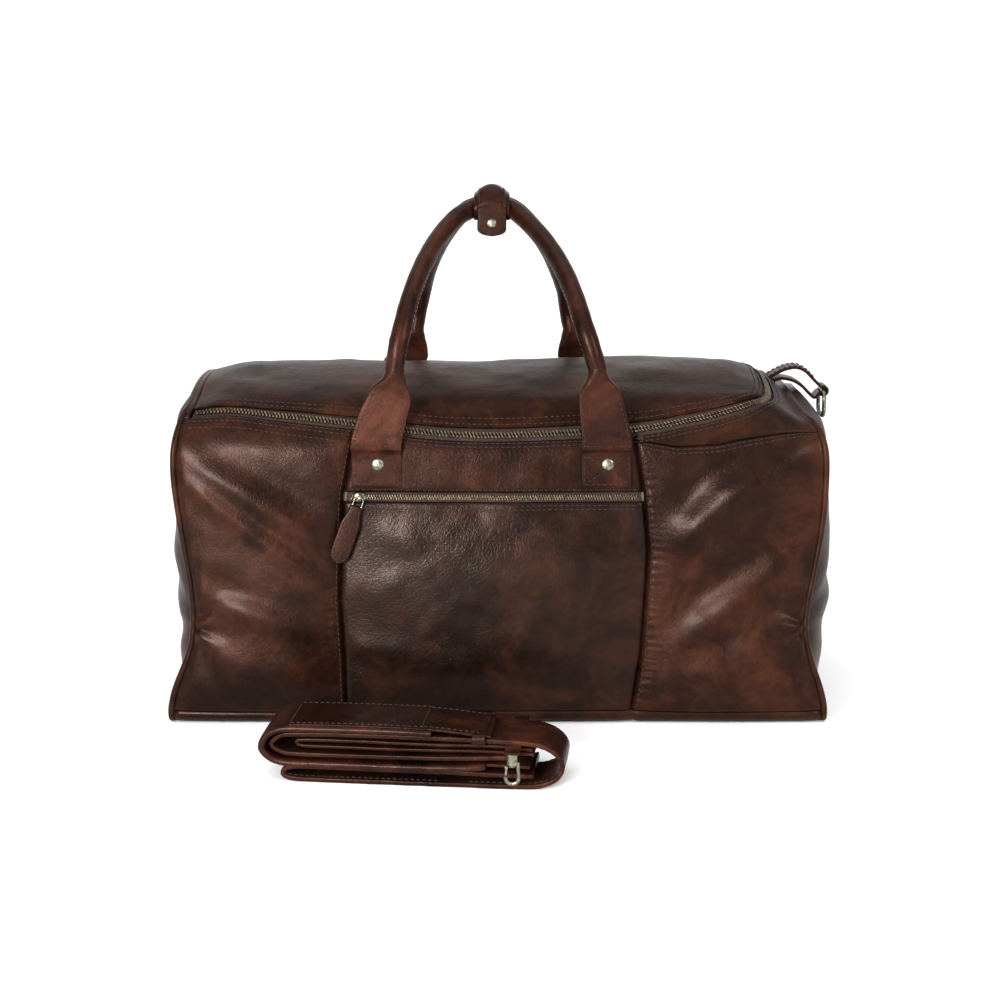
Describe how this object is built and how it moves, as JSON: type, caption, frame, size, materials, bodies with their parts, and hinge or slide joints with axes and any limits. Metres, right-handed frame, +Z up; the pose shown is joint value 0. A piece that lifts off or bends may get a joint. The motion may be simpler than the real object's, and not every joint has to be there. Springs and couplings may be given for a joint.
{
  "type": "weekender bag",
  "caption": "Soft leather weekender bag with a zipped lid that opens from one end, front zip pocket, rolled handles held by a snap wrap, D-rings and a detachable shoulder strap.",
  "frame": {"origin": "centre of the base's flat underside, where the bag stands", "axes": "+X to the bag's right end seen from the pocket side, +Y to the back, +Z up"},
  "size_m": [0.5782, 0.4482, 0.441],
  "materials": {
    "shell_leather": "satin",
    "trim_leather": "satin",
    "strap_leather": "satin",
    "lining_cloth": "matte",
    "rope_core": "matte",
    "base_board": "matte",
    "zip_tape": "matte",
    "zip_metal": "antique",
    "hardware": "antique nickel"
  },
  "bodies": {
    "bag": {"bottom_panel": "shell_leather", "front_panel_left": "shell_leather", "front_panel_right": "shell_leather", "front_yoke": "shell_leather", "pocket_panel": "shell_leather", "pocket_lining": "lining_cloth", "back_panel": "shell_leather", "end_panel_left": "shell_leather", "end_panel_right": "shell_leather", "top_gusset": "shell_leather", "piping_left": "trim_leather", "piping_right": "trim_leather", "hinge_seam": "shell_leather", "base_board": "base_board", "lining": "lining_cloth", "zip_tape_lower": "zip_tape", "zip_teeth_lower": "zip_metal", "pocket_zip_tape": "zip_tape", "pocket_zip_teeth": "zip_metal", "handle_patch_front_left": "trim_leather", "handle_patch_front_right": "trim_leather", "handle_patch_back_left": "trim_leather", "handle_patch_back_right": "trim_leather", "handle_rivets": "hardware", "d_ring_tab_left": "trim_leather", "d_ring_tab_right": "trim_leather"},
    "lid": {"lid_panel": "shell_leather", "lid_lining": "lining_cloth", "zip_tape_upper": "zip_tape", "zip_teeth_upper": "zip_metal"},
    "main_slider": {"main_slider": "zip_metal"},
    "main_pull": {"main_pull_ring": "zip_metal", "main_pull_tag": "trim_leather"},
    "pocket_slider": {"pocket_slider": "zip_metal"},
    "pocket_pull": {"pocket_pull_ring": "zip_metal", "pocket_pull_tag": "trim_leather"},
    "handle_front": {"handle_front_roll": "trim_leather", "handle_front_core": "rope_core", "handle_front_strap_left": "trim_leather", "handle_front_strap_right": "trim_leather"},
    "handle_back": {"handle_back_roll": "trim_leather", "handle_back_core": "rope_core", "handle_back_strap_left": "trim_leather", "handle_back_strap_right": "trim_leather", "handle_wrap": "trim_leather"},
    "wrap_flap": {"wrap_flap": "trim_leather", "wrap_snap_cap": "hardware"},
    "d_ring_left": {"d_ring_left": "hardware"},
    "d_ring_right": {"d_ring_right": "hardware"},
    "shoulder_strap": {"strap_leather": "strap_leather", "strap_pad": "strap_leather", "strap_tail": "strap_leather", "strap_keeper": "strap_leather", "strap_hook_loops": "strap_leather", "hook_swivels": "hardware"},
    "snap_hook_front": {"snap_hook_front": "hardware"},
    "snap_hook_rear": {"snap_hook_rear": "hardware"},
    "hook_gate_front": {"hook_gate_front": "hardware"},
    "hook_gate_rear": {"hook_gate_rear": "hardware"}
  },
  "joints": [
    {"name": "lid_open", "type": "hinge", "parent": "bag", "child": "lid", "pos_m": [-0.266, 0, 0.286], "axis": [0, -1, 0], "range_deg": [0, 100]},
    {"name": "handle_front_fold", "type": "hinge", "parent": "bag", "child": "handle_front", "pos_m": [0, -0.133, 0.24], "axis": [1, 0, 0], "range_deg": [0, 120]},
    {"name": "handle_back_fold", "type": "hinge", "parent": "bag", "child": "handle_back", "pos_m": [0, 0.133, 0.24], "axis": [-1, 0, 0], "range_deg": [0, 120]},
    {"name": "wrap_open", "type": "hinge", "parent": "handle_back", "child": "wrap_flap", "pos_m": [0, 0.0025, 0.44], "axis": [-1, 0, 0], "range_deg": [0, 120], "deforming": ["wrap_flap", "wrap_snap_cap"]},
    {"name": "main_zip_slide", "type": "slide", "parent": "bag", "child": "main_slider", "axis": [1, 0, 0], "range_m": [0, 0.108]},
    {"name": "main_pull_swing", "type": "hinge", "parent": "main_slider", "child": "main_pull", "pos_m": [-0.246, 0.12843, 0.2565], "axis": [1, 0, 0], "range_deg": [0, 140]},
    {"name": "pocket_zip_slide", "type": "slide", "parent": "bag", "child": "pocket_slider", "axis": [1, 0, 0], "range_m": [0, 0.228]},
    {"name": "pocket_pull_swing", "type": "hinge", "parent": "pocket_slider", "child": "pocket_pull", "pos_m": [-0.116, -0.132, 0.1975], "axis": [-1, 0, 0], "range_deg": [0, 88]},
    {"name": "d_ring_left_swing", "type": "hinge", "parent": "bag", "child": "d_ring_left", "pos_m": [-0.2845, 0, 0.218], "axis": [0, 1, 0], "range_deg": [0, 150]},
    {"name": "d_ring_right_swing", "type": "hinge", "parent": "bag", "child": "d_ring_right", "pos_m": [0.2845, 0, 0.268], "axis": [0, -1, 0], "range_deg": [0, 150]},
    {"name": "shoulder_strap_lift", "type": "slide", "parent": "bag", "child": "shoulder_strap", "axis": [0, 0, 1], "range_m": [0, 0.25]},
    {"name": "hook_front_swivel", "type": "hinge", "parent": "shoulder_strap", "child": "snap_hook_front", "pos_m": [0.00936, -0.30056, 0.03], "axis": [0, 0, 1], "continuous": true},
    {"name": "gate_front_press", "type": "hinge", "parent": "snap_hook_front", "child": "hook_gate_front", "pos_m": [0.00498, -0.3001, 0.0234], "axis": [-0.1045, -0.9945, 0], "range_deg": [0, 22], "stiffness_Nm_per_rad": 0.0002},
    {"name": "hook_rear_swivel", "type": "hinge", "parent": "shoulder_strap", "child": "snap_hook_rear", "pos_m": [0.01772, -0.221, 0.03], "axis": [0, 0, 1], "continuous": true},
    {"name": "gate_rear_press", "type": "hinge", "parent": "snap_hook_rear", "child": "hook_gate_rear", "pos_m": [0.01334, -0.22054, 0.0234], "axis": [-0.1045, -0.9945, 0], "range_deg": [0, 22], "stiffness_Nm_per_rad": 0.0002}
  ],
  "couplings": [
    {"joint": "handle_front_fold", "follows": "lid_open", "ratio": 1.2},
    {"joint": "handle_back_fold", "follows": "lid_open", "ratio": 1.2},
    {"joint": "wrap_open", "follows": "lid_open", "ratio": 1.2}
  ]
}
